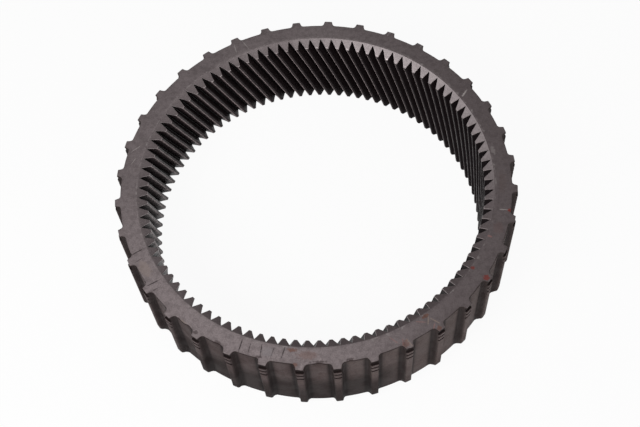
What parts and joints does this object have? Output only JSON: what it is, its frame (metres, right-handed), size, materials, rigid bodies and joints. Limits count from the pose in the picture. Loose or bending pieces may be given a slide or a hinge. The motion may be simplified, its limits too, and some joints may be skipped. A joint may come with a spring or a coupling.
{
  "type": "internal ring gear",
  "caption": "Steel ring gear with helical teeth in the bore, straight driving lugs around the outside and a bevelled end, as used around planet gears.",
  "frame": {"origin": "centre of the lower face, on the gear axis", "axes": "+Z along the gear axis towards the bevelled end with the grooved lugs; +X through the middle of a lug"},
  "size_m": [0.363, 0.363, 0.0834],
  "materials": {
    "steel": "used, dark grey-brown machined steel with worn and stained patches"
  },
  "bodies": {
    "root": {"ring_gear": "steel"}
  },
  "joints": []
}
